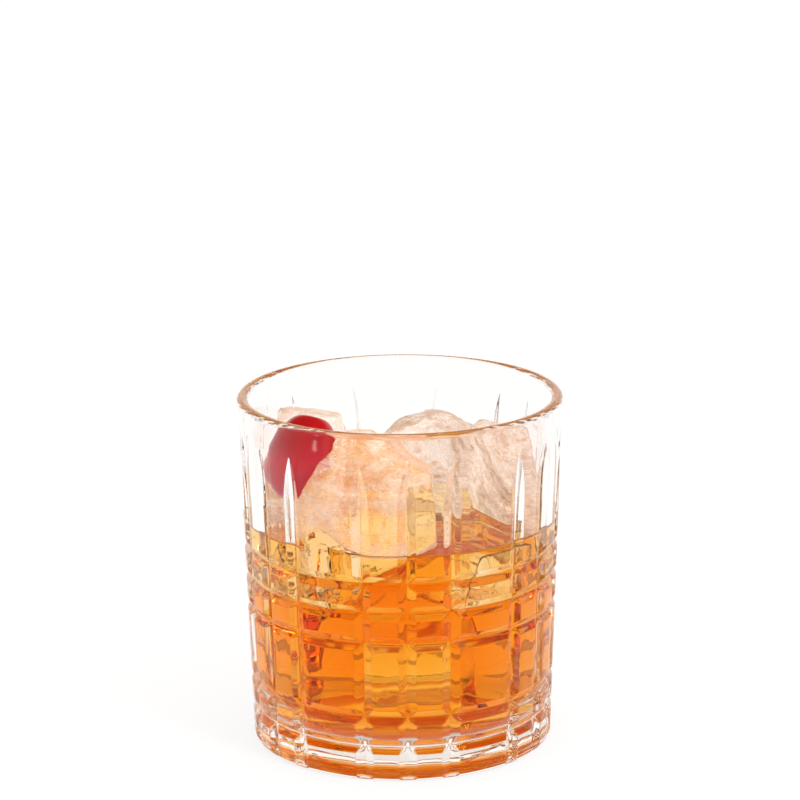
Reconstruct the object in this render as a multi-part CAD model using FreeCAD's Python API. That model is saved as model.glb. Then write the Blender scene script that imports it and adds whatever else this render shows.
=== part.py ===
import FreeCAD, Part
import math
import os

# An old fashioned in its glass: a pressed tumbler with a plaid of V-cuts, an amber drink,
# chunks of ice that stand out of it, and a cocktail cherry resting on the ice at the wall.
# Millimetres, +Z up. The origin is the centre of the foot, on the plane that it stands on,
# and the drinker looks along +Y.

# Tumbler
HEIGHT = 92.0
RIM_RADIUS = 42.1
BASE_RADIUS = 39.0
RIM_WALL = 3.0
RIM_FLAT = 0.06
FOOT_WALL = 4.4
FLOOR_THICKNESS = 8.5
FLOOR_ROUND = 7.0
HEEL_ROUND = 1.6
PUNT_RADIUS = 31.0
PUNT_DEPTH = 0.8

# Plaid of cuts in the outside of the wall
RING_HEIGHTS = (9.3, 17.2, 36.9, 45.1, 53.0)
RING_HALF_WIDTH = 1.95
CUT_DEPTH = 1.35
FLUTE_HALF_WIDTH = 2.3
FLUTE_GROUPS = 6
WIDE_PANEL_DEG = 27.3
FRONT_FLUTE_DEG = 1.9
PLAIN_BAND = 8.0
RUN_OUT = 12.0
CUTTER_PROUD = 4.0

# Drink
DRINK_LEVEL = 59.0
MENISCUS_RISE = 0.9
MENISCUS_REACH = 2.0

# Ice. The gap keeps it clear of the glass, and the seat keeps it clear of the cherry.
ICE_GAP = 0.4
SEAT_GAP = 0.2

# Cherry
CHERRY_RADIUS = 8.45
CHERRY_HEIGHT = 22.0
CHERRY_DIMPLE = 2.4
CHERRY_GAP = 0.3
CHERRY_AZIMUTH_DEG = 211.0
CHERRY_ABOVE_DRINK = 19.4
CHERRY_LEAN_DEG = 22.0
CHERRY_TILT_DEG = 15.0

PARTS_FOLDER = "parts"
Vector = FreeCAD.Vector
AXIS_X, AXIS_Y, AXIS_Z = Vector(1, 0, 0), Vector(0, 1, 0), Vector(0, 0, 1)


def outer_radius(z):
    """The slanted outside of the wall, before any cut."""
    return BASE_RADIUS + (RIM_RADIUS - BASE_RADIUS) * z / HEIGHT


def bore_radius(z):
    """The slanted inside of the wall."""
    foot = outer_radius(FLOOR_THICKNESS) - FOOT_WALL
    rim = RIM_RADIUS - RIM_WALL
    return foot + (rim - foot) * (z - FLOOR_THICKNESS) / (HEIGHT - FLOOR_THICKNESS)


def rounded_corner(before, corner, after, radius):
    """Start, middle and end of the arc that rounds a corner of an outline."""
    to_before, to_after = (before - corner).normalize(), (after - corner).normalize()
    half_angle = to_before.getAngle(to_after) / 2
    reach = radius / math.tan(half_angle)
    bisector = (to_before + to_after).normalize()
    middle = corner + bisector * (radius / math.sin(half_angle) - radius)
    return corner + to_before * reach, middle, corner + to_after * reach


def turned(corners):
    """The solid made by turning a closed outline about Z. A corner is (radius, height, round)."""
    points = [Vector(r, 0, z) for r, z, _ in corners]
    edges, starts, ends = [], [], []
    for i, (_, _, rounding) in enumerate(corners):
        if rounding:
            arc = rounded_corner(points[i - 1], points[i], points[(i + 1) % len(points)], rounding)
            edges.append(Part.Arc(*arc).toShape())
            starts.append(arc[0])
            ends.append(arc[2])
        else:
            starts.append(points[i])
            ends.append(points[i])
    for i, end in enumerate(ends):
        edges.append(Part.makeLine(end, starts[(i + 1) % len(starts)]))
    outline = Part.Wire(Part.__sortEdges__(edges))
    return Part.Face(outline).revolve(Vector(), AXIS_Z, 360)


def tumbler_blank():
    """The tumbler with its rings, before the upright flutes are cut."""
    corners = [
        (0, PUNT_DEPTH, 0),
        (PUNT_RADIUS, PUNT_DEPTH, 0),
        (PUNT_RADIUS + PUNT_DEPTH, 0, 0),
        (outer_radius(0), 0, HEEL_ROUND),
    ]
    for z in RING_HEIGHTS:
        corners += [
            (outer_radius(z - RING_HALF_WIDTH), z - RING_HALF_WIDTH, 0),
            (outer_radius(z) - CUT_DEPTH, z, 0),
            (outer_radius(z + RING_HALF_WIDTH), z + RING_HALF_WIDTH, 0),
        ]
    rim_round = (RIM_WALL - RIM_FLAT) / 2
    corners += [
        (RIM_RADIUS, HEIGHT, rim_round),
        (RIM_RADIUS - RIM_WALL, HEIGHT, rim_round),
        (bore_radius(FLOOR_THICKNESS), FLOOR_THICKNESS, FLOOR_ROUND),
        (0, FLOOR_THICKNESS, 0),
    ]
    return turned(corners)


def flute_cutters():
    """The straight part of one flute and the run-out of the wheel that cuts it, at azimuth 0."""
    full_height = HEIGHT - PLAIN_BAND - RUN_OUT
    upwards = Vector(RIM_RADIUS - BASE_RADIUS, 0, HEIGHT).normalize()
    outwards = Vector(upwards.z, 0, -upwards.x)
    bottom = Vector(outer_radius(full_height), 0, full_height) - outwards * CUT_DEPTH
    depth = CUT_DEPTH + CUTTER_PROUD
    half_width = FLUTE_HALF_WIDTH * depth / CUT_DEPTH
    mouth = bottom + outwards * depth
    corners = [bottom, mouth + AXIS_Y * half_width, mouth - AXIS_Y * half_width, bottom]
    section = Part.Face(Part.makePolygon(corners))
    straight = section.extrude(upwards * (-full_height - HEEL_ROUND))
    wheel_radius = (RUN_OUT**2 + CUT_DEPTH**2) / (2 * CUT_DEPTH)
    leaving_deg = math.degrees(math.acos(1 - depth / wheel_radius))
    run_out = section.revolve(bottom + outwards * wheel_radius, AXIS_Y, leaving_deg)
    return straight, run_out


def flute_azimuths():
    """Each group is two narrow panels and a wide one, so it has three flutes."""
    group = 360 / FLUTE_GROUPS
    narrow = (group - WIDE_PANEL_DEG) / 2
    middle = FRONT_FLUTE_DEG - 90
    return [middle + group * i + narrow * k for i in range(FLUTE_GROUPS) for k in (-1, 0, 1)]


def make_tumbler():
    cutters = []
    for azimuth in flute_azimuths():
        for cutter in flute_cutters():
            cutter.rotate(Vector(), AXIS_Z, azimuth)
            cutters.append(cutter)
    return tumbler_blank().cut(cutters)


def inside(level, gap):
    """The room inside the bore, up to a level, and kept a gap away from the glass."""
    floor = FLOOR_THICKNESS + gap
    return turned([
        (0, floor, 0),
        (bore_radius(floor) - gap, floor, FLOOR_ROUND - gap),
        (bore_radius(level) - gap, level, 0),
        (0, level, 0),
    ])


# The chunks of ice, sized for this radius of the bore at the drink's level, and scaled with it.
# A chunk is the room inside its flat cleaved faces. Its centre is x, y and the height over the
# drink. A face is the azimuth and elevation that it looks to, and its distance from the centre.
ICE_BORE = 37.4
ICE_CHUNKS = {
    "ice_front": {
        "centre": (-9, -16, 1),
        "faces": [
            (-93, 20, 19.4), (-92, 54, 20.0), (80, 80, 25.0), (163, 20, 15.2), (190, -12, 15.8),
            (15, 55, 21.9), (0, 4, 18.0), (95, 8, 16.0), (-35, -50, 14.4), (100, -80, 19.1),
        ],
    },
    "ice_left": {
        "centre": (-25, 9, 3),
        "faces": [
            (60, 80, 22.0), (-5, 6, 10.8), (185, 14, 11.2), (-100, 25, 13.8), (40, 40, 22.8),
            (95, 3, 16.0), (-140, 0, 18.5), (-60, -75, 23.9),
        ],
    },
    "ice_back": {
        "centre": (5, 14, 3),
        "faces": [
            (160, 72, 18.4), (165, 30, 15.0), (-20, 12, 14.5), (-95, 15, 14.0), (-90, 50, 19.5),
            (85, 8, 13.0), (40, 62, 21.0), (-120, -78, 24.3), (-150, 5, 13.0),
        ],
    },
    "ice_right": {
        "centre": (27, 4, 4),
        "faces": [
            (207, -14, 6.9), (50, 72, 18.0), (165, 45, 18.2), (-65, 28, 18.2),
            (80, 4, 17.4), (-100, -78, 22.3), (0, 10, 9.4),
        ],
    },
}


def ice_chunk(centre, faces):
    """A chunk cut out of a big block by its flat faces."""
    scale = bore_radius(DRINK_LEVEL) / ICE_BORE
    block_size = 4 * RIM_RADIUS
    half = block_size / 2
    chunk = Part.makeBox(block_size, block_size, block_size, Vector(-half, -half, -half))
    for azimuth, elevation, distance in faces:
        corner = Vector(distance * scale, -half, -half)
        cutter = Part.makeBox(block_size, block_size, block_size, corner)
        cutter.rotate(Vector(), AXIS_Y, -elevation)
        cutter.rotate(Vector(), AXIS_Z, azimuth)
        chunk = chunk.cut(cutter)
    chunk.translate(Vector(*centre) * scale + AXIS_Z * DRINK_LEVEL)
    return chunk


# The cherry's outline from its bottom to its shoulder, as shares of its radius and half height.
CHERRY_OUTLINE = ((0, -1), (0.66, -0.70), (1, 0.10), (0.82, 0.68), (0.40, 1))


def make_cherry(grow=0.0):
    """A cherry with a stem dimple, leaning back and tilted to the right. Grow makes its seat."""
    radius = CHERRY_RADIUS + grow
    height = CHERRY_HEIGHT / 2 + grow
    outline = Part.BSplineCurve()
    dimple = Vector(0, 0, height - CHERRY_DIMPLE)
    points = [Vector(r * radius, 0, z * height) for r, z in CHERRY_OUTLINE]
    outline.interpolate([*points, dimple])
    axis_line = Part.makeLine(dimple, points[0])
    face = Part.Face(Part.Wire([outline.toShape(), axis_line]))
    cherry = face.revolve(Vector(), AXIS_Z, 360)
    cherry.rotate(Vector(), AXIS_X, -CHERRY_LEAN_DEG)
    cherry.rotate(Vector(), AXIS_Y, CHERRY_TILT_DEG)
    centre_height = DRINK_LEVEL + CHERRY_ABOVE_DRINK
    tilt = math.radians(CHERRY_TILT_DEG)
    reach = math.hypot(CHERRY_RADIUS * math.cos(tilt), CHERRY_HEIGHT / 2 * math.sin(tilt))
    from_axis = bore_radius(centre_height - CHERRY_HEIGHT / 2) - CHERRY_GAP - reach
    sideways = FreeCAD.Rotation(AXIS_Z, CHERRY_AZIMUTH_DEG).multVec(AXIS_X * from_axis)
    cherry.translate(sideways + AXIS_Z * centre_height)
    return cherry


def make_ice(cherry_seat):
    """The chunks, each trimmed to the bore, to the chunks before it and to the cherry's seat."""
    room = inside(HEIGHT + RIM_RADIUS, ICE_GAP)
    chunks = {}
    for name, shape in ICE_CHUNKS.items():
        chunk = ice_chunk(**shape).common(room)
        chunks[name] = chunk.cut([cherry_seat, *chunks.values()])
    return chunks


def make_drink(sunk):
    """The drink up to its level, with a meniscus at the glass, cut round what stands in it."""
    edge = DRINK_LEVEL + MENISCUS_RISE
    body = turned([
        (0, FLOOR_THICKNESS, 0),
        (bore_radius(FLOOR_THICKNESS), FLOOR_THICKNESS, FLOOR_ROUND),
        (bore_radius(edge), edge, 0),
        (bore_radius(DRINK_LEVEL) - MENISCUS_REACH, DRINK_LEVEL, 0),
        (0, DRINK_LEVEL, 0),
    ])
    return body.cut(sunk)


def main():
    cherry = make_cherry()
    ice = make_ice(make_cherry(SEAT_GAP))
    nodes = {
        "tumbler": make_tumbler(),
        "drink": make_drink([cherry, *ice.values()]),
        "cherry": cherry,
        **ice,
    }
    os.makedirs(PARTS_FOLDER, exist_ok=True)
    for name, shape in nodes.items():
        shape.exportStep(os.path.join(PARTS_FOLDER, name + ".step"))
        volume_cm3 = round(shape.Volume / 1000, 2)
        print(name, "solids", len(shape.Solids), "valid", shape.isValid(), "cm3", volume_cm3)


main()
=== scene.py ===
# %% [markdown]
# # An old fashioned in a plaid-cut tumbler
#
# This lesson dresses a finished construction. The frame holds every piece at its real size
# and place, in metres, with the foot of the tumbler on the plane z = 0 and its axis on +Z.
# Here the pieces get the forms and finishes that make them look like pressed glass, whisky,
# melting ice and a cocktail cherry.

# %% The frame
import math

import bmesh
import bpy
from mathutils import Matrix, Vector, noise
from mathutils.bvhtree import BVHTree


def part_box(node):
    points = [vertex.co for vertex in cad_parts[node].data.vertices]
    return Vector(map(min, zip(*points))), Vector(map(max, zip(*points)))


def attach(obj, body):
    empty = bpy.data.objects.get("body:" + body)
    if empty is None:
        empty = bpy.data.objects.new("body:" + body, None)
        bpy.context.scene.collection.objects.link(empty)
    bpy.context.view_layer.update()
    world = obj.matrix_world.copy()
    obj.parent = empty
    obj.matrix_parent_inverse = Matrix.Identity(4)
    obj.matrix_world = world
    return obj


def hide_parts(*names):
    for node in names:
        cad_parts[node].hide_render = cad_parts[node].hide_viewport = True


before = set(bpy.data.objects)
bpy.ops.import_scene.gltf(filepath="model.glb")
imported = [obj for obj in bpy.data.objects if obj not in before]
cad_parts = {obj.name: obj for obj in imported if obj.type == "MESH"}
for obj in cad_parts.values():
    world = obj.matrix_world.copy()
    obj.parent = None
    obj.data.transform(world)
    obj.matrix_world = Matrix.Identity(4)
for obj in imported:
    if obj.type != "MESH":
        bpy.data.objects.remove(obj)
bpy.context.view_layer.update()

MM = 0.001
scene = bpy.context.scene
print("nodes:", sorted(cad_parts))

# %% [markdown]
# ## Driving sizes
#
# The box of a node gives its overall size. The cuts and walls are features inside that box,
# so they are named here once, and every ring, flute and panel is worked out from them.

# %% Sizes of the tumbler
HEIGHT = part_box("tumbler")[1].z
RIM_RADIUS = 42.1 * MM
BASE_RADIUS = 39.0 * MM
RIM_WALL = 3.0 * MM
FOOT_WALL = 4.4 * MM
FLOOR = 8.5 * MM
FLOOR_ROUND = 7.0 * MM
HEEL_ROUND = 1.6 * MM
PUNT_RADIUS = 31.0 * MM
PUNT_DEPTH = 0.8 * MM
RING_HEIGHTS = [z * MM for z in (9.3, 17.2, 36.9, 45.1, 53.0)]
RING_HALF_WIDTH = 1.95 * MM
FLUTE_HALF_WIDTH = 2.3 * MM
CUT_DEPTH = 1.35 * MM
FLUTE_TOP = 84.0 * MM
RUN_OUT = 12.0 * MM
FLUTE_GROUPS = 6
WIDE_PANEL = math.radians(27.3)
FRONT_FLUTE = math.radians(1.9 - 90)
LEVEL = 59.0 * MM


def outer_radius(z):
    """The radius of the tapered wall, before the cuts."""
    return BASE_RADIUS + (RIM_RADIUS - BASE_RADIUS) * z / HEIGHT


def bore_radius(z):
    """The radius of the inside, whose wall is thicker at the foot than at the rim."""
    foot = outer_radius(FLOOR) - FOOT_WALL
    rim = RIM_RADIUS - RIM_WALL
    return foot + (rim - foot) * (z - FLOOR) / (HEIGHT - FLOOR)


print("rim across", round(2000 * RIM_RADIUS, 1), "mm, height", round(1000 * HEIGHT, 1), "mm")

# %% [markdown]
# ## The camera
#
# A long lens from about 0.9 m, looking down by some fifteen degrees, sees the rim as a flat
# ellipse and keeps the sides of the tumbler nearly parallel. It is made first, because every
# later choice of detail depends on how large that detail is in view.

# %% Camera
CAMERA_LENS = 152.36
CAMERA_SENSOR = 36
CAMERA_PLACE = (0.00005, -0.8448, 0.3124)
CAMERA_DIP = 14.75
CAMERA_ROLL = -0.508
camera_data = bpy.data.cameras.new("camera")
camera_data.lens = CAMERA_LENS
camera_data.sensor_width = CAMERA_SENSOR
camera = bpy.data.objects.new("camera", camera_data)
scene.collection.objects.link(camera)
pitch = Matrix.Rotation(math.radians(90 - CAMERA_DIP), 4, "X")
roll = Matrix.Rotation(math.radians(CAMERA_ROLL), 4, "Z")
camera.matrix_world = Matrix.Translation(CAMERA_PLACE) @ pitch @ roll
scene.camera = camera
print("camera dips", CAMERA_DIP, "degrees, lens", CAMERA_LENS, "mm")

# %% [markdown]
# ## Light
#
# Glass shows its surroundings more than itself. A white tent lights it evenly, and the
# refracted edges stay visible only because the room beyond the tent is darker: each facet of a
# cut shows either the tent or the room. The world here is white behind the glass and below. It
# fades to a warm dusk overhead and to a dark room in front, and is plain white to the camera
# and to matt surfaces, so that every colour comes out about as it is written.


# %% Helpers for node trees
def new_material(name):
    """A material without nodes yet, and its node tree."""
    material = bpy.data.materials.new(name)
    material.use_nodes = True
    material.node_tree.nodes.clear()
    return material, material.node_tree


def add(tree, kind, inputs=None, **settings):
    """A new node whose inputs are given as numbers, or as sockets to link from."""
    node = tree.nodes.new(kind)
    for key, value in settings.items():
        setattr(node, key, value)
    for key, value in (inputs or {}).items():
        if isinstance(value, bpy.types.NodeSocket):
            tree.links.new(value, node.inputs[key])
        else:
            node.inputs[key].default_value = value
    return node


def calc(tree, operation, *values, clamp=False):
    """The result of a Math node on sockets and numbers."""
    inputs = dict(enumerate(values))
    return add(tree, "ShaderNodeMath", inputs, operation=operation, use_clamp=clamp).outputs[0]


def mixed(tree, share, first, second):
    """The first colour, or as large a share of the second one as is given."""
    node = add(tree, "ShaderNodeMix", {"Factor": share, "A": first, "B": second}, data_type="RGBA")
    return node.outputs["Result"]


def wane(tree, value, start, end):
    """1 up to the start, then falling smoothly to 0 at the end."""
    return add(tree, "ShaderNodeMapRange", {"Value": value, "From Min": start, "From Max": end,
               "To Min": 1.0, "To Max": 0.0}, interpolation_type="SMOOTHSTEP").outputs[0]


def height_of(tree, place):
    """The Z of a place on the object."""
    return add(tree, "ShaderNodeSeparateXYZ", {0: place}).outputs["Z"]


def seen_share(tree, straight, by_gloss, by_glass):
    """A share for rays from the camera, and for those that come by gloss or through glass."""
    path = add(tree, "ShaderNodeLightPath")
    total = 0.0
    for kind, share in (("Is Camera Ray", straight), ("Is Glossy Ray", by_gloss),
                        ("Is Transmission Ray", by_glass)):
        total = calc(tree, "MULTIPLY_ADD", path.outputs[kind], share, total)
    return total


# %% World
DUSK = (0.60, 0.22, 0.10, 1)
ROOM = (0.12, 0.10, 0.09, 1)
WHITE = (1, 1, 1, 1)
TENT_STRENGTH = 1.08
TENT_TOP = (0.30, 0.55)
TENT_FRONT = (0.15, 0.65)
world = bpy.data.worlds.new("tent")
scene.world = world
world.use_nodes = True
tree = world.node_tree
tree.nodes.clear()
path = add(tree, "ShaderNodeLightPath")
direction = add(tree, "ShaderNodeTexCoord").outputs["Generated"]
parts = add(tree, "ShaderNodeSeparateXYZ", {0: direction})
forwards = calc(tree, "MULTIPLY", parts.outputs["Y"], -1.0)
beyond = wane(tree, forwards, *TENT_FRONT)
tent = calc(tree, "MULTIPLY", wane(tree, parts.outputs["Z"], *TENT_TOP), beyond)
dark = mixed(tree, beyond, ROOM, DUSK)
plain = calc(tree, "MAXIMUM", path.outputs["Diffuse Depth"], path.outputs["Is Camera Ray"],
             clamp=True)
white = calc(tree, "MAXIMUM", tent, plain)
strength = calc(tree, "MULTIPLY_ADD", plain, 1 - TENT_STRENGTH, TENT_STRENGTH)
colour = mixed(tree, white, dark, WHITE)
background = add(tree, "ShaderNodeBackground", {"Color": colour, "Strength": strength})
add(tree, "ShaderNodeOutputWorld", {"Surface": background.outputs[0]})
print("world:", len(tree.nodes), "nodes")

# %% Floor
FLOOR_SIZE = 8.0
FLOOR_DROP = 0.1 * MM
PAPER = (0.94, 0.91, 0.88, 1)
GLOW_STRENGTH = 1.06
GLOW_SEEN, GLOW_BY_GLOSS, GLOW_BY_GLASS = 0.75, 0.5, 0.6
GLOW_NEAR, GLOW_FAR = 50 * MM, 85 * MM
floor_bm = bmesh.new()
bmesh.ops.create_grid(floor_bm, x_segments=1, y_segments=1, size=FLOOR_SIZE / 2)
floor_mesh = bpy.data.meshes.new("floor")
floor_bm.to_mesh(floor_mesh)
floor_bm.free()
floor = bpy.data.objects.new("floor", floor_mesh)
scene.collection.objects.link(floor)
floor.location.z = -FLOOR_DROP
floor_material, tree = new_material("floor")
paper = add(tree, "ShaderNodeBsdfDiffuse", {"Color": PAPER})
glow = add(tree, "ShaderNodeEmission", {"Color": WHITE, "Strength": GLOW_STRENGTH})
place = add(tree, "ShaderNodeTexCoord").outputs["Object"]
distance = add(tree, "ShaderNodeVectorMath", {0: place}, operation="LENGTH").outputs["Value"]
near = wane(tree, distance, GLOW_NEAR, GLOW_FAR)
through_glass = calc(tree, "MULTIPLY_ADD", near, -GLOW_BY_GLASS, GLOW_BY_GLASS)
share = seen_share(tree, GLOW_SEEN, GLOW_BY_GLOSS, through_glass)
both = add(tree, "ShaderNodeMixShader", {0: share, 1: paper.outputs[0], 2: glow.outputs[0]})
add(tree, "ShaderNodeOutputMaterial", {"Surface": both.outputs[0]})
floor_mesh.materials.append(floor_material)
print("floor:", FLOOR_SIZE, "m square")

# %% Softbox
SOFTBOX_SIZE = (0.22, 0.4)
SOFTBOX_PLACE = (0.62, -0.66, 0.5)
SOFTBOX_AIM = Vector((0, 0, 0.05))
SOFTBOX_POWER = 4.0
key_data = bpy.data.lights.new("softbox", "AREA")
key_data.shape = "RECTANGLE"
key_data.size, key_data.size_y = SOFTBOX_SIZE
key_data.energy = SOFTBOX_POWER
key = bpy.data.objects.new("softbox", key_data)
scene.collection.objects.link(key)
key.location = SOFTBOX_PLACE
key.rotation_euler = (SOFTBOX_AIM - key.location).to_track_quat("-Z", "Y").to_euler()

# Light that has crossed glass, ice and drink has met many surfaces, so it may bounce often.
scene.cycles.max_bounces = 32
scene.cycles.transmission_bounces = 32
scene.cycles.glossy_bounces = 16
scene.cycles.diffuse_bounces = 6
scene.view_settings.view_transform = "Standard"
print("softbox of", SOFTBOX_POWER, "W,", scene.cycles.max_bounces, "bounces")

# %% [markdown]
# ## The glass
#
# Clear pressed glass has only a trace of warm colour. Its look comes from its form, so the
# material is a smooth dielectric, and all the work goes into the cuts. The rim is melted round
# in a flame, which leaves its skin a little waved: there the glass is not quite smooth.


# %% Glass material
GLASS_IOR = 1.5
GLASS_TINT = (0.985, 0.955, 0.94, 1)
GLASS_REFLECTION = (0.1, 0.1, 0.1, 1)
RIM_SOFTNESS = 0.14
RIM_SOFT_DEPTH = 2.0 * MM


def glass_material():
    """Clear glass, with a softly waved skin near the rim."""
    material, tree = new_material("clear_glass")
    height = height_of(tree, add(tree, "ShaderNodeTexCoord").outputs["Object"])
    soft = add(tree, "ShaderNodeMapRange", {"Value": height, "From Min": HEIGHT - RIM_SOFT_DEPTH,
               "From Max": HEIGHT - RIM_SOFT_DEPTH / 2, "To Max": RIM_SOFTNESS})
    shader = add(tree, "ShaderNodeBsdfPrincipled", {"Base Color": GLASS_TINT,
                 "Roughness": soft.outputs[0], "IOR": GLASS_IOR, "Transmission Weight": 1.0,
                 "Specular Tint": GLASS_REFLECTION})
    add(tree, "ShaderNodeOutputMaterial", {"Surface": shader.outputs[0]})
    return material


# %% [markdown]
# ## The tumbler
#
# The real one is pressed in a mould whose wall carries the plaid: five rings round it and
# eighteen upright flutes, each a V-groove. Cutting them with Booleans would leave long thin
# faces that shade badly. Instead an outline is spun into a grid whose rows and columns lie
# just where the grooves have their edges and bottoms, and the grid is then pressed inwards
# by the depth of the groove. Where two grooves cross, the deeper one wins, which makes the
# mitred star of a real crossing.

# %% The groove's section
GROOVE_ROUND = 0.09
GROOVE_STEPS = [0, GROOVE_ROUND, 0.5, 1 - GROOVE_ROUND, 1, 1 + GROOVE_ROUND]
GROOVE_PLACES = [-u for u in GROOVE_STEPS[:0:-1]] + GROOVE_STEPS


def groove(u):
    """Depth of an eased V-groove, 1 at most, at u half-widths from its middle."""
    e = GROOVE_ROUND
    u = abs(u)
    slope = 1 - (u if u > e else (u * u / e + e) / 2)
    if slope > e:
        return slope
    return (slope + e) ** 2 / (4 * e) if slope > -e else 0.0


def fade(z):
    """How much of a flute's size is left at height z, from 1 to 0 where the cut runs out."""
    return min(1.0, max(0.0, 1 - (max(0.0, z - FLUTE_TOP + RUN_OUT) / RUN_OUT) ** 2))


print("a groove has", len(GROOVE_PLACES), "rows across it")

# %% Columns of the grid
# A column is the flute that it belongs to and its place in half-widths, or, on a panel, the
# share of the way from one flute to the next.
NARROW_PANEL = (2 * math.pi / FLUTE_GROUPS - WIDE_PANEL) / 2
NARROW_STEPS, WIDE_STEPS = 4, 8
flute_angles = []
for group in range(FLUTE_GROUPS):
    for k in (-1, 0, 1):
        flute_angles.append(FRONT_FLUTE + 2 * math.pi / FLUTE_GROUPS * group + NARROW_PANEL * k)
columns = []
for i, angle in enumerate(flute_angles):
    following = flute_angles[(i + 1) % len(flute_angles)]
    if i + 1 == len(flute_angles):
        following += 2 * math.pi
    for u in GROOVE_PLACES:
        columns.append((angle, u, angle, 0.0))
    panel_steps = WIDE_STEPS if following - angle > 1.1 * NARROW_PANEL else NARROW_STEPS
    for j in range(1, panel_steps):
        columns.append((angle, GROOVE_STEPS[-1], following, j / panel_steps))
print(len(flute_angles), "flutes,", len(columns), "columns")


def column_angle(column, z, size):
    """The angle of a column at height z, where the flutes have that share of their full width."""
    angle, u, following, share = column
    half = math.atan(FLUTE_HALF_WIDTH * size / outer_radius(z))
    start = angle + u * half
    if following == angle:
        return start
    return start + (following - GROOVE_STEPS[-1] * half - start) * share


# %% The outline of the tumbler
def arc(centre, radius, start, end, steps):
    """Points (r, z) of an arc, from one angle to another in degrees."""
    points = []
    for i in range(steps + 1):
        a = math.radians(start + (end - start) * i / steps)
        points.append((centre[0] + radius * math.cos(a), centre[1] + radius * math.sin(a)))
    return points


def spaced(start, end, gap):
    """Heights between two heights, about a gap apart, without the ends."""
    count = max(1, round(abs(end - start) / gap))
    return [start + (end - start) * i / count for i in range(1, count)]


PANEL_ROWS = 4 * MM
RUN_OUT_ROWS = 0.8 * MM
BORE_ROWS = 5 * MM
ROWS_OVER_FLUTES = [1.5 * MM, 3.5 * MM]
# The slope from the punt to the foot: how far out it lies, and its share of the punt's depth.
PUNT_SLOPE = [(0, 1), (0.3 * MM, 0.8), (0.7 * MM, 0.25), (1.2 * MM, 0)]
FOOT_WIDTH = 3.5 * MM
FLOOR_CORNER = (bore_radius(FLOOR) - FLOOR_ROUND * 0.96, FLOOR + FLOOR_ROUND)
FLOOR_RADII = [0, 12 * MM, 22 * MM]


def wall_heights():
    """The heights of the rows on the outside of the wall."""
    heights = [HEEL_ROUND]
    for ring in RING_HEIGHTS:
        edges = [ring + u * RING_HALF_WIDTH for u in GROOVE_PLACES]
        heights += spaced(heights[-1], edges[0], PANEL_ROWS) + edges
    run_out = FLUTE_TOP - RUN_OUT
    heights += spaced(heights[-1], run_out, PANEL_ROWS) + [run_out]
    heights += spaced(run_out, FLUTE_TOP, RUN_OUT_ROWS) + [FLUTE_TOP]
    return heights + [FLUTE_TOP + z for z in ROWS_OVER_FLUTES]


def tumbler_outline():
    """The section of the tumbler from its axis, round the foot, wall and rim, down to the floor."""
    rim = RIM_WALL / 2
    points = [(0, PUNT_DEPTH), (PUNT_RADIUS * 0.6, PUNT_DEPTH)]
    points += [(PUNT_RADIUS + out, PUNT_DEPTH * share) for out, share in PUNT_SLOPE]
    points += [(outer_radius(0) - FOOT_WIDTH, 0)]
    points += arc((outer_radius(0) - HEEL_ROUND, HEEL_ROUND), HEEL_ROUND, -90, 0, 8)[:-1]
    points += [(outer_radius(z), z) for z in wall_heights()]
    points += arc((RIM_RADIUS - rim, HEIGHT - rim), rim, 0, 180, 16)
    points += [(bore_radius(z), z) for z in spaced(HEIGHT - rim, FLOOR_CORNER[1], BORE_ROWS)]
    points += arc(FLOOR_CORNER, FLOOR_ROUND, 0, -90, 12)
    points += [(r, FLOOR) for r in reversed(FLOOR_RADII)]
    return points


print("the outline has", len(tumbler_outline()), "points")


# %% Spinning the outline
def spun(points, steps):
    """A bmesh of an outline turned a full circle round Z, with its poles closed."""
    bm = bmesh.new()
    verts = [bm.verts.new((r, 0, z)) for r, z in points]
    edges = [bm.edges.new(pair) for pair in zip(verts, verts[1:])]
    bmesh.ops.spin(bm, geom=verts + edges, cent=(0, 0, 0), axis=(0, 0, 1), angle=2 * math.pi,
                   steps=steps, use_merge=True)
    bmesh.ops.remove_doubles(bm, verts=bm.verts, dist=1e-7)
    bmesh.ops.recalc_face_normals(bm, faces=bm.faces)
    return bm


# %% Pressing the cuts
# Above the flutes the columns stay half as wide as a flute, up to the plain band under the rim.
PLAIN_BAND = FLUTE_TOP + 5 * MM
FLUTE_END = FLUTE_TOP + 1 * MM
LEAST_WIDTH = 0.08
WIDTH_OVER_FLUTES = 0.5


def column_width(z):
    """The share of their full width that the flutes' columns have at height z."""
    return max(LEAST_WIDTH, fade(z)) if z < FLUTE_END else WIDTH_OVER_FLUTES


def press_cuts(bm):
    """Slides the columns to the flutes and presses the rings and flutes into the wall."""
    step = 2 * math.pi / len(columns)
    for v in bm.verts:
        radius = math.hypot(v.co.x, v.co.y)
        if radius < 1e-6:
            continue
        column = columns[round(math.atan2(v.co.y, v.co.x) / step) % len(columns)]
        z = v.co.z
        outside = radius > (outer_radius(z) + bore_radius(z)) / 2 and z < PLAIN_BAND
        angle = column_angle(column, z, column_width(z) if outside else 1.0)
        if outside:
            ring = max(groove((z - height) / RING_HALF_WIDTH) for height in RING_HEIGHTS)
            on_flute = column[0] == column[2]
            flute = fade(z) * groove(column[1]) if on_flute else 0.0
            radius = min(radius, outer_radius(z) - CUT_DEPTH * max(ring, flute))
        v.co.x = radius * math.cos(angle)
        v.co.y = radius * math.sin(angle)


# %% Mitres and hard edges
CUT_EDGE_ANGLE = math.radians(4)


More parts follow.
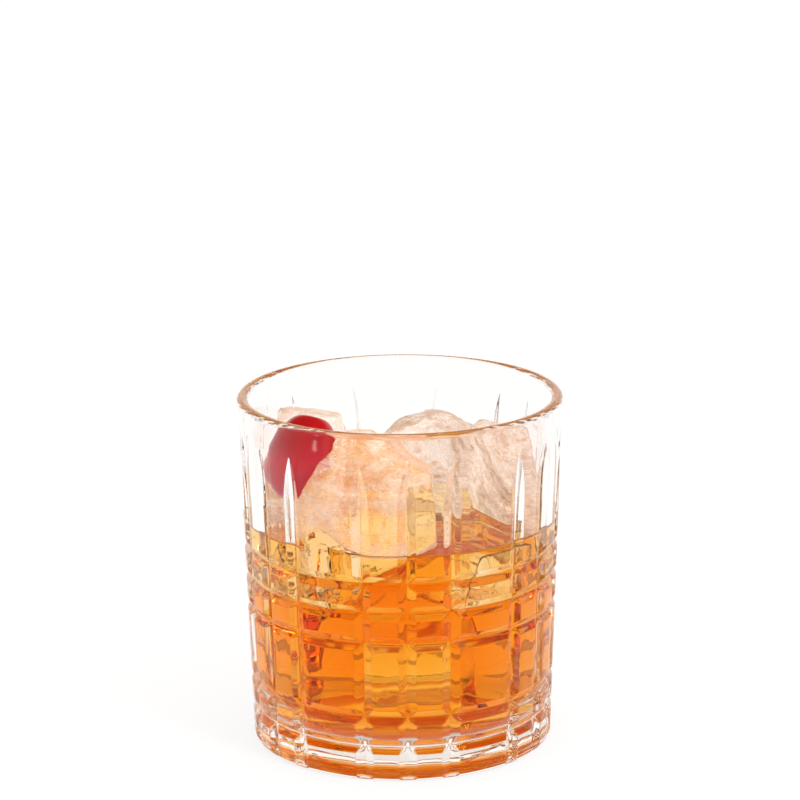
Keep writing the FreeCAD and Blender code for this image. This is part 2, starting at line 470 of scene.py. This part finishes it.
def split_mitres(bm):
    """Cuts each bent quad along the diagonal that follows the mitre of a crossing."""
    quads = [f for f in bm.faces
             if len(f.verts) == 4 and HEEL_ROUND <= f.calc_center_median().z < FLUTE_TOP]
    count = 0
    for face in quads:
        a, b, c, d = face.verts
        depth = [outer_radius(v.co.z) - math.hypot(v.co.x, v.co.y) for v in (a, b, c, d)]
        if max(depth) < 1e-6 or max(depth) > 2 * CUT_DEPTH:
            continue
        if abs(depth[0] - depth[1] + depth[2] - depth[3]) < 1e-6:
            continue
        pair = (a, c) if abs(depth[0] - depth[2]) > abs(depth[1] - depth[3]) else (b, d)
        bmesh.utils.face_split(face, *pair)
        count += 1
    return count


def shade_smooth(bm):
    for face in bm.faces:
        face.smooth = True


def harden_edges(bm):
    """Marks the edges of the cuts as sharp."""
    for edge in bm.edges:
        top = max(v.co.z for v in edge.verts)
        low = min(v.co.z for v in edge.verts)
        on_cut = len(edge.link_faces) == 2 and top < FLUTE_END and low > HEEL_ROUND / 2
        edge.smooth = not (on_cut and edge.calc_face_angle(0) > CUT_EDGE_ANGLE and
                           edge.verts[0].co.xy.length > outer_radius(low) - 2 * CUT_DEPTH)


# %% Making pieces
def make_piece(name, bm, material, node=None):
    """A finished piece of the object, which may stand for a node of the frame."""
    mesh = bpy.data.meshes.new(name)
    bm.to_mesh(mesh)
    bm.free()
    mesh.materials.append(material)
    piece = bpy.data.objects.new(name, mesh)
    scene.collection.objects.link(piece)
    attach(piece, "root")
    if node:
        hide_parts(node)
    print(name, len(mesh.polygons), "faces")
    return piece


# %% The tumbler itself
clear_glass = glass_material()
bm = spun(tumbler_outline(), len(columns))
press_cuts(bm)
print("mitres:", split_mitres(bm))
shade_smooth(bm)
harden_edges(bm)
make_piece("pressed_tumbler", bm, clear_glass, "tumbler")

# %% [markdown]
# ## The ice
#
# Bar ice is split off a block, so a chunk has a few flat cleaved faces, which the frame
# gives. Melting then rounds the edges and etches scallops into the faces. The chunk is
# remeshed fine enough to carry that relief, and layered noise moves its skin.
#
# Its material is clear, with what makes real ice hard to see through: clouds and strata of
# small bubbles and a frosted crust where it is dry. Thin brown lines are painted shade that
# stands for the dark edges of refraction, with brown patches beside them. The part in the air
# has a painted orange glow, an emission that stands for the drink's light carried up into it.


# %% Patterns for ice
LINE_WIDTH = 0.012


def cloudy(tree, place, scale, detail, roughness, distortion=0.0):
    """The value of a noise."""
    return add(tree, "ShaderNodeTexNoise", {"Vector": place, "Scale": scale, "Detail": detail,
               "Roughness": roughness, "Distortion": distortion}).outputs[0]


def scaled(tree, value, span, result):
    """Goes evenly between the two results as the value goes over its span."""
    return add(tree, "ShaderNodeMapRange", {"Value": value, "From Min": span[0], "From Max": span[1],
               "To Min": result[0], "To Max": result[1]}).outputs[0]


def thin_lines(tree, value, strength):
    """Lines along which a noise passes through its middle, and nothing beside them."""
    away = calc(tree, "ABSOLUTE", calc(tree, "SUBTRACT", value, 0.5))
    return calc(tree, "MULTIPLY", wane(tree, away, 0.0, LINE_WIDTH), strength)


# %% Ice material
ICE_IOR = 1.31
# The peach of the ice is painted light: a tint that stands for the drink's orange light in it.
ICE_PAINTED_PEACH = (1.0, 0.92, 0.84, 1)
# Brown of the thin lines, painted shade standing for dark refraction edges, and of brown patches.
ICE_BROWN = (0.80, 0.42, 0.24, 1)
# Colour of the painted glow on ice in the air, an emission standing for the drink's light.
PAINTED_ICE_GLOW_COLOUR = (1.0, 0.45, 0.16, 1)
STRATA_SQUASH = (1.0, 1.0, 2.6)
GRAIN_RELIEF = 0.3 * MM
CRYSTAL_RELIEF = 0.5 * MM


def ice_material(name, crust, painted_glow):
    """Ice whose dry crust and whose painted glow, standing for the drink's light, are as strong as
    given.
    """
    material, tree = new_material("wet_" + name)
    place = add(tree, "ShaderNodeTexCoord").outputs["Object"]
    layered = add(tree, "ShaderNodeMapping", {"Vector": place, "Scale": STRATA_SQUASH}).outputs[0]
    dry = add(tree, "ShaderNodeAttribute", attribute_name="dry").outputs["Fac"]
    inside = add(tree, "ShaderNodeNewGeometry").outputs["Backfacing"]
    outside = calc(tree, "SUBTRACT", dry, inside, clamp=True)

    cloud = cloudy(tree, place, scale=110.0, detail=6.0, roughness=0.65)
    strata = cloudy(tree, layered, scale=75.0, detail=4.0, roughness=0.6, distortion=0.6)
    haze = scaled(tree, cloud, (0.41, 0.63), (0.08, 0.60))
    whiteness = calc(tree, "ADD", haze, thin_lines(tree, strata, 0.35))
    milk = calc(tree, "MULTIPLY", whiteness, outside, clamp=True)
    clarity = calc(tree, "SUBTRACT", 1.0, milk)

    frost = calc(tree, "MULTIPLY", scaled(tree, cloud, (0.35, 0.7), (0.04, 0.30)), dry)
    sheen = calc(tree, "MULTIPLY", dry, 0.5)
    grain = cloudy(tree, place, scale=1100.0, detail=4.0, roughness=0.6, distortion=0.4)
    fine = add(tree, "ShaderNodeBump", {"Height": grain, "Strength": dry, "Distance": GRAIN_RELIEF})
    crystals = add(tree, "ShaderNodeTexVoronoi", {"Vector": place, "Scale": 420.0})
    coarse = add(tree, "ShaderNodeBump", {"Height": crystals.outputs["Distance"], "Strength": dry,
                 "Distance": CRYSTAL_RELIEF * crust, "Normal": fine.outputs[0]})

    # Thin brown lines are painted shade along the dark edges of refraction; brown patches lie beside
    # them.
    brown_noise = cloudy(tree, layered, scale=170.0, detail=5.0, roughness=0.65, distortion=0.8)
    brown_patches = scaled(tree, brown_noise, (0.54, 0.64), (0.0, 0.65 * crust))
    brown_lines_and_patches = calc(tree, "ADD", thin_lines(tree, brown_noise, 0.55), brown_patches)
    brown_where_dry = calc(tree, "MULTIPLY", brown_lines_and_patches, dry, clamp=True)
    # Painted glow: orange emission on the dry outside of the ice, less where it is brown.
    glow_off_brown = calc(tree, "MULTIPLY_ADD", brown_where_dry, -painted_glow, painted_glow)
    glow = calc(tree, "MULTIPLY", outside, glow_off_brown)

    shader = add(tree, "ShaderNodeBsdfPrincipled", {
        "Base Color": mixed(tree, brown_where_dry, ICE_PAINTED_PEACH, ICE_BROWN), "Roughness": frost,
        "IOR": ICE_IOR, "Normal": coarse.outputs[0], "Transmission Weight": clarity,
        "Specular Tint": sheen, "Emission Color": PAINTED_ICE_GLOW_COLOUR, "Emission Strength": glow})
    add(tree, "ShaderNodeOutputMaterial", {"Surface": shader.outputs[0]})
    return material


# %% Shaping a chunk
def chunk_bmesh(node):
    """The frame's chunk as clean flat faces."""
    bm = bmesh.new()
    bm.from_mesh(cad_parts[node].data)
    bmesh.ops.remove_doubles(bm, verts=bm.verts, dist=1e-6)
    bmesh.ops.dissolve_limit(bm, angle_limit=math.radians(1), verts=bm.verts, edges=bm.edges)
    return bm


def remeshed(bm, voxel):
    """The same solid with even small faces."""
    mesh = bpy.data.meshes.new("block")
    bm.to_mesh(mesh)
    bm.free()
    block = bpy.data.objects.new("block", mesh)
    scene.collection.objects.link(block)
    modifier = block.modifiers.new("even", "REMESH")
    modifier.mode = "VOXEL"
    modifier.voxel_size = voxel
    modifier.use_smooth_shade = True
    depsgraph = bpy.context.evaluated_depsgraph_get()
    even = bpy.data.meshes.new_from_object(block.evaluated_get(depsgraph))
    bpy.data.objects.remove(block)
    result = bmesh.new()
    result.from_mesh(even)
    bpy.data.meshes.remove(even)
    return result


def smoothstep(low, high, value):
    """0 at low and 1 at high, with a smooth rise between them."""
    t = min(1.0, max(0.0, (value - low) / (high - low)))
    return t * t * (3 - 2 * t)


# %% The film between the front chunk and the glass
# It starts, peaks and ends at these directions from the axis, and only reaches ice that lies
# close to the bore.
FILM_START, FILM_PEAK, FILM_END = [math.radians(a) for a in (-137, -122.5, -105)]
FILM_RISE = 5.9 * MM
FILM_DRY_GAP = 4 * MM
FILM_WET_GAP = 1 * MM


def film_rise(point):
    """How far the drink creeps up over its level between the front chunk and the glass."""
    azimuth = math.atan2(point.y, point.x)
    if azimuth < FILM_PEAK:
        return FILM_RISE * smoothstep(FILM_START, FILM_PEAK, azimuth)
    return FILM_RISE * (1 - smoothstep(FILM_PEAK, FILM_END, azimuth))


def wet_level(point):
    """The height up to which the drink wets the ice at this point."""
    bore = bore_radius(point.z)
    close = smoothstep(bore - FILM_DRY_GAP, bore - FILM_WET_GAP, point.xy.length)
    return LEVEL + film_rise(point) * close


print("the film peaks", round(1000 * FILM_RISE, 1), "mm over the level")

# %% Melting under the drink
# The warmer drink melts the sunk part of a chunk faster, so it draws in below the level by
# these shares, apart from the left end of the front chunk. It has also melted a hollow into
# that chunk's front.
SUNK_MELT = {"ice_front": 0.55, "ice_left": 0.0, "ice_back": 0.1, "ice_right": 0.2}
SUNK_MELT_START = 1 * MM
SUNK_MELT_DEPTH = 12 * MM
LEFT_END = (-14 * MM, -6 * MM)
HOLLOW = Vector((4, -37, 48)) * MM
HOLLOW_REACH = Vector((14.5, 14, 10.5)) * MM
HOLLOW_TOP, HOLLOW_FULL = LEVEL - 0.3 * MM, LEVEL - 2 * MM


def hollow_out(v):
    """Moves a point of the front chunk back to the wall of the hollow."""
    offset = v.co - HOLLOW
    reach = Vector([offset[i] / HOLLOW_REACH[i] for i in range(3)])
    if not 1e-6 < reach.length < 1 or v.co.z >= HOLLOW_TOP:
        return
    if offset.y > 0:
        back = reach.y / reach.length
    else:
        back = math.sqrt(max(0.0, 1 - reach.x ** 2 - reach.z ** 2))
    push = smoothstep(HOLLOW_TOP, HOLLOW_FULL, v.co.z)
    v.co.y += (HOLLOW.y + back * HOLLOW_REACH.y - v.co.y) * push


def melt_below(bm, node):
    """Draws the sunk part of a chunk in towards its middle."""
    xs = [v.co.x for v in bm.verts]
    ys = [v.co.y for v in bm.verts]
    middle = Vector(((min(xs) + max(xs)) / 2, (min(ys) + max(ys)) / 2))
    for v in bm.verts:
        depth = LEVEL - SUNK_MELT_START - v.co.z
        shrink = SUNK_MELT[node] * smoothstep(0, SUNK_MELT_DEPTH, depth)
        if node == "ice_front":
            shrink *= smoothstep(*LEFT_END, v.co.x)
            hollow_out(v)
        v.co.x += (middle.x - v.co.x) * shrink
        v.co.y += (middle.y - v.co.y) * shrink


# %% Melting of the skin
# Smoothing spreads over a distance that grows with the square root of its passes, so both the
# fine skin and the coarser cutter of a chunk are rounded alike. Scales are per metre, heights
# in mm.
EDGE_ROUNDING = 1.25 * MM
SUNK_ROUNDING = 2.0 * MM
WAVE_SCALE, WAVE_HEIGHT, WAVE_CALMED = 90, 0.5, 0.3
SCALLOP_SCALE, SCALLOP_DEPTH, SCALLOP_MIDDLE, SCALLOP_TOP = 240, 0.7, 0.3, 0.5
GRAIN_SCALE, GRAIN_HEIGHT, GRAIN_FADE, GRAIN_STEP, GRAIN_LAYERS = 520, 0.2, 0.8, 2.0, 3
SEED_STEPS = (0.37, 0.71, 0.13)
MELTED_OFF = 0.1
WET_SMOOTHNESS = 0.9
WET_EDGE = 1.5 * MM


def rounding_passes(rounding, voxel):
    """How many times to smooth, for faces of this size."""
    return round((rounding / voxel) ** 2)


def melt(bm, seed, rough, passes):
    """Rounds the edges, then etches waves, scallops and grain into the skin."""
    for _ in range(passes):
        bmesh.ops.smooth_vert(bm, verts=bm.verts, factor=0.5, use_axis_x=True, use_axis_y=True,
                              use_axis_z=True)
    bm.normal_update()
    offset = Vector([seed * step for step in SEED_STEPS])
    moves = []
    for v in bm.verts:
        wave = noise.noise(v.co * WAVE_SCALE + offset)
        cells = noise.voronoi(v.co * SCALLOP_SCALE + offset)[0]
        scallop = min(SCALLOP_TOP, cells[1] - cells[0]) - SCALLOP_MIDDLE
        grain = noise.fractal(v.co * GRAIN_SCALE + offset, GRAIN_FADE, GRAIN_STEP, GRAIN_LAYERS)
        wet = 1 - smoothstep(0, WET_EDGE, v.co.z - wet_level(v.co))
        etched = (grain * GRAIN_HEIGHT - scallop * SCALLOP_DEPTH) * rough
        etched *= 1 - WET_SMOOTHNESS * wet
        move = wave * (WAVE_HEIGHT - WAVE_CALMED * wet) + etched - MELTED_OFF
        moves.append(v.normal * move * MM)
    for v, move in zip(bm.verts, moves):
        v.co += move


# %% Room between the pieces
GLASS_GAP = 0.12 * MM
CHUNK_GAP = 0.45 * MM
CHUNK_REACH = 3 * MM


def keep_off_glass(bm):
    """No point comes nearer to the glass than the gap."""
    for v in bm.verts:
        limit = bore_radius(v.co.z) - GLASS_GAP
        reach = v.co.xy.length
        if reach > limit:
            v.co.x *= limit / reach
            v.co.y *= limit / reach


def keep_off_chunks(bm, others):
    """No point comes nearer to the frame's form of another chunk than the gap."""
    for other in others:
        form = bmesh.new()
        form.from_mesh(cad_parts[other].data)
        tree = BVHTree.FromBMesh(form)
        form.free()
        for v in bm.verts:
            spot, normal, _, distance = tree.find_nearest(v.co)
            height = (v.co - spot).dot(normal)
            if distance < CHUNK_REACH and height < CHUNK_GAP:
                v.co += normal * (CHUNK_GAP - height)


# %% Wet and dry ice
# The drink was poured down the front of the ice, which washed it clear between these sides,
# up to a ragged top. Over the wet line it turns dry within less than a millimetre.
SPLASH_TOP = 76 * MM
SPLASH_RAGGED, SPLASH_RAGGED_SCALE = 3.5 * MM, 420
SPLASH_LEFT, SPLASH_RIGHT, SPLASH_BACK = 1.5 * MM, 14 * MM, -18 * MM
SPLASH_TOP_FADE, SPLASH_SIDE_FADE = 1.2 * MM, 1.5 * MM
SPLASH_CLEARS = 0.8
WET_LINE = (-0.3 * MM, 0.5 * MM)


def splash(point):
    """How far the front of the ice is washed clear, from 0 to 1, beside the front flute."""
    if not SPLASH_LEFT < point.x < SPLASH_RIGHT or point.y > SPLASH_BACK:
        return 0.0
    ragged = noise.noise(Vector((point.x * SPLASH_RAGGED_SCALE, 0, 0)))
    top = SPLASH_TOP + SPLASH_RAGGED * ragged
    below_top = smoothstep(top, top - SPLASH_TOP_FADE, point.z)
    return below_top * smoothstep(SPLASH_LEFT, SPLASH_LEFT + SPLASH_SIDE_FADE, point.x)


def mark_dry(bm):
    """Writes how dry each point of the ice is, from 0 in the drink to 1 in the air."""
    layer = bm.verts.layers.float.new("dry")
    for v in bm.verts:
        above = v.co.z - wet_level(v.co)
        v[layer] = smoothstep(*WET_LINE, above) * (1 - SPLASH_CLEARS * splash(v.co))


# %% The four chunks that stand out of the drink
FINE = 0.5 * MM
ICE_ROUGHNESS = {"ice_front": 0.5, "ice_left": 0.7, "ice_back": 1.0, "ice_right": 1.2}
# Strength of the painted glow on each chunk.
PAINTED_ICE_GLOW = {"ice_front": 0.24, "ice_left": 0.12, "ice_back": 0.05, "ice_right": 0.15}


def melting_chunk(node, voxel):
    """A chunk of the frame after some melting, in faces of about the given size."""
    bm = remeshed(chunk_bmesh(node), voxel)
    melt_below(bm, node)
    seed = list(ICE_ROUGHNESS).index(node) + 1
    melt(bm, seed, ICE_ROUGHNESS[node], rounding_passes(EDGE_ROUNDING, voxel))
    keep_off_chunks(bm, [other for other in ICE_ROUGHNESS if other != node])
    keep_off_glass(bm)
    return bm


for node in ICE_ROUGHNESS:
    bm = melting_chunk(node, FINE)
    mark_dry(bm)
    shade_smooth(bm)
    wet_ice = ice_material(node, ICE_ROUGHNESS[node], PAINTED_ICE_GLOW[node])
    make_piece("melting_" + node, bm, wet_ice, node)

# %% [markdown]
# ## Ice under the drink
#
# Smaller bits of ice lie sunk below the big chunks. Ice bends light nearly as the drink does,
# so their edges hardly show, but they take the place of coloured liquid and let light through.
# The frame has no such bits, so each starts here as a box with a few planes cut off it, and is
# then melted by the same steps.

# %% The sunk chunks
# Each is a box between two corners, in mm, that is cleaved by planes: a point and a direction.
SUNK_CHUNKS = {
    "low": ((-9, -26, 16.0), (13, 8, 31.5), [
        ((-4, -25, 24), (-0.7, -0.8, 0.2)),
        ((9, -25, 24), (0.7, -0.8, 0)),
        ((2, -25, 27), (-0.1, -0.6, 0.8)),
        ((2, -25, 20), (0.1, -0.6, -0.8))]),
    "right": ((11.5, -37, 42.5), (33, -3, 58.0), [
        ((27, -14, 50), (0.85, 0.5, 0)),
        ((17, -34, 50), (-0.8, -0.5, 0.35)),
        ((21, -34, 48), (0.3, -0.55, -0.78))]),
}
SUNK_ROUGHNESS = 0.5
SUNK_SEED = 10


def cleaved_block(low, high, cuts):
    """A closed block of ice with a few flat cleaved faces."""
    bm = bmesh.new()
    low, high = Vector(low) * MM, Vector(high) * MM
    size = Matrix.Diagonal((*(high - low), 1))
    bmesh.ops.create_cube(bm, size=1, matrix=Matrix.Translation((low + high) / 2) @ size)
    for point, direction in cuts:
        whole = bm.verts[:] + bm.edges[:] + bm.faces[:]
        cut = bmesh.ops.bisect_plane(bm, geom=whole, plane_co=Vector(point) * MM,
                                     plane_no=direction, clear_outer=True)
        rim = [e for e in cut["geom_cut"] if isinstance(e, bmesh.types.BMEdge)]
        bmesh.ops.edgeloop_fill(bm, edges=rim)
    bmesh.ops.recalc_face_normals(bm, faces=bm.faces)
    return bm


def sunk_chunk(name, voxel):
    """A sunk chunk after some melting, in faces of about the given size."""
    bm = remeshed(cleaved_block(*SUNK_CHUNKS[name]), voxel)
    seed = SUNK_SEED + list(SUNK_CHUNKS).index(name)
    melt(bm, seed, SUNK_ROUGHNESS, rounding_passes(SUNK_ROUNDING, voxel))
    keep_off_chunks(bm, ICE_ROUGHNESS)
    keep_off_glass(bm)
    return bm


clear_ice = ice_material("sunk_ice", SUNK_ROUGHNESS, 0.0)
for name in SUNK_CHUNKS:
    bm = sunk_chunk(name, FINE)
    mark_dry(bm)
    shade_smooth(bm)
    make_piece("sunk_ice_" + name, bm, clear_ice)

# %% [markdown]
# ## The drink
#
# The liquid is one closed body that reaches a quarter of a millimetre into the glass, so
# that no air shows between them. Its colour lies in its depth: whisky and bitters absorb
# blue strongly and green a little, so thin places are pale gold and deep ones orange.


# %% Drink material
# The open surface mirrors the tent, and the walls of the drink lie inside the glass, where
# nothing should be mirrored. So only a face that looks straight up has a specular tint.
DRINK_IOR = 1.36
DRINK_COLOUR = (0.987, 0.755, 0.0, 1)
DRINK_DENSITY = 90.0


def drink_material():
    material, tree = new_material("amber_drink")
    facing = add(tree, "ShaderNodeNewGeometry").outputs["True Normal"]
    open_surface = scaled(tree, height_of(tree, facing), (0.98, 0.999), (0.0, 1.0))
    shader = add(tree, "ShaderNodeBsdfPrincipled", {"Base Color": WHITE, "Roughness": 0.0,
                 "IOR": DRINK_IOR, "Transmission Weight": 1.0, "Specular Tint": open_surface})
    depth = add(tree, "ShaderNodeVolumeAbsorption", {"Color": DRINK_COLOUR,
                "Density": DRINK_DENSITY})
    surface, volume = shader.outputs[0], depth.outputs[0]
    add(tree, "ShaderNodeOutputMaterial", {"Surface": surface, "Volume": volume})
    return material


amber_drink = drink_material()

# %% The outline of the drink
WALL_OVERLAP = 0.25 * MM
MENISCUS_RISE = 0.9 * MM
MENISCUS_REACH = 2.0 * MM
MENISCUS_STEPS = 6
MENISCUS_CURVE = 2.5
DRINK_STEPS = 128


def drink_outline():
    """The section of the drink, out along the floor, up the bore and back in on its level."""
    points = [(r, FLOOR - WALL_OVERLAP) for r in FLOOR_RADII]
    points += arc(FLOOR_CORNER, FLOOR_ROUND + WALL_OVERLAP, -90, 0, 12)
    edge = LEVEL + MENISCUS_RISE
    heights = spaced(FLOOR_CORNER[1], edge, BORE_ROWS) + [edge]
    points += [(bore_radius(z) + WALL_OVERLAP, z) for z in heights]
    for i in range(MENISCUS_STEPS + 1):
        share = 1 - i / MENISCUS_STEPS
        r = bore_radius(edge) - MENISCUS_REACH * (1 - share)
        points.append((r, LEVEL + MENISCUS_RISE * share ** MENISCUS_CURVE))
    points.append((0, LEVEL))
    return points


def raise_film(bm):
    """Lifts the rim of the drink where it creeps up between the front chunk and the glass."""
    flat = bore_radius(LEVEL) - MENISCUS_REACH - 0.1 * MM
    edge = bore_radius(LEVEL + MENISCUS_RISE)
    for v in bm.verts:
        reach = v.co.xy.length
        if v.co.z < LEVEL - 0.01 * MM or reach < flat:
            continue
        rise = film_rise(v.co)
        edge_share = max(0.0, (v.co.z - LEVEL) / MENISCUS_RISE)
        v.co.z += rise * edge_share
        if edge_share > 0.99 and rise > 0:
            v.co.xy = v.co.xy.normalized() * (bore_radius(v.co.z) + (reach - edge))


# %% Room for the ice
# The cavities are a little smaller than the ice, so that no air shows between ice and drink.
COARSE = 0.7 * MM
SINK_OVERLAP = 0.2 * MM


def cavity_cutter(name, bm):
    """The chunk, drawn in a little, as an object to cut with."""
    bm.normal_update()
    for v in bm.verts:
        v.co -= v.normal * SINK_OVERLAP
    mesh = bpy.data.meshes.new("cutter")
    bm.to_mesh(mesh)
    bm.free()
    cutter = bpy.data.objects.new("cutter_" + name, mesh)
    scene.collection.objects.link(cutter)
    return cutter


def cut_out(body, cutters):
    """Cuts the cutters out of the body and removes them."""
    for cutter in cutters:
        modifier = body.modifiers.new("cut", "BOOLEAN")
        modifier.object = cutter
        modifier.operation = "DIFFERENCE"
        modifier.solver = "MANIFOLD"
    depsgraph = bpy.context.evaluated_depsgraph_get()
    cut = bpy.data.meshes.new_from_object(body.evaluated_get(depsgraph))
    body.modifiers.clear()
    body.data = cut
    for cutter in cutters:
        bpy.data.objects.remove(cutter)


# %% The drink itself
SHARP_ANGLE = math.radians(40)
STILL_SURFACE = 0.9999
bm = spun(drink_outline(), DRINK_STEPS)
raise_film(bm)
drink = make_piece("amber_drink", bm, amber_drink, "drink")
cutters = [cavity_cutter(node, melting_chunk(node, COARSE)) for node in ICE_ROUGHNESS]
cutters += [cavity_cutter(name, sunk_chunk(name, COARSE)) for name in SUNK_CHUNKS]
cut_out(drink, cutters)
drink.data.shade_smooth()
drink.data.set_sharp_from_angle(angle=SHARP_ANGLE)
# The level itself is shaded flat, as a still surface is.
for face in drink.data.polygons:
    face.use_smooth = face.normal.z < STILL_SURFACE
print("drink after cutting:", len(drink.data.polygons), "faces")

# %% [markdown]
# ## The cherry
#
# A cocktail cherry is dyed through and soaked in syrup: a deep red flesh with a glossy skin.


# %% Cherry skin
CHERRY_DARK = (0.28, 0.0, 0.003, 1)
CHERRY_RED = (0.56, 0.004, 0.008, 1)
# Painted glow: an emission in the cherry's lower part that stands for the light of the drink and
# ice.
PAINTED_CHERRY_GLOW_COLOUR = (1.0, 0.06, 0.10, 1)
PAINTED_GLOW_LOW, PAINTED_GLOW_HIGH = 79 * MM, 86 * MM
PAINTED_CHERRY_GLOW_STRENGTH = 0.2


def cherry_material():
    """A red skin, with a painted glow in its lower part that stands for the light of the drink and
    ice.
    """
    material, tree = new_material("cherry_skin")
    place = add(tree, "ShaderNodeTexCoord").outputs["Object"]
    mottle = cloudy(tree, place, scale=160.0, detail=4.0, roughness=0.5)
    colour = add(tree, "ShaderNodeValToRGB", {"Fac": mottle})
    colour.color_ramp.elements[0].color = CHERRY_DARK
    colour.color_ramp.elements[1].color = CHERRY_RED
    # The painted glow is full below the lower height and gone above the upper one.
    low = wane(tree, height_of(tree, place), PAINTED_GLOW_LOW, PAINTED_GLOW_HIGH)
    glow = calc(tree, "MULTIPLY", low, PAINTED_CHERRY_GLOW_STRENGTH)
    shader = add(tree, "ShaderNodeBsdfPrincipled", {"Base Color": colour.outputs[0],
                 "Roughness": 0.16, "Specular IOR Level": 0.2,
                 "Emission Color": PAINTED_CHERRY_GLOW_COLOUR, "Emission Strength": glow})
    add(tree, "ShaderNodeOutputMaterial", {"Surface": shader.outputs[0]})
    return material


# %% The cherry itself
bm = bmesh.new()
bm.from_mesh(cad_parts["cherry"].data)
bmesh.ops.remove_doubles(bm, verts=bm.verts, dist=1e-6)
shade_smooth(bm)
make_piece("cocktail_cherry", bm, cherry_material(), "cherry")
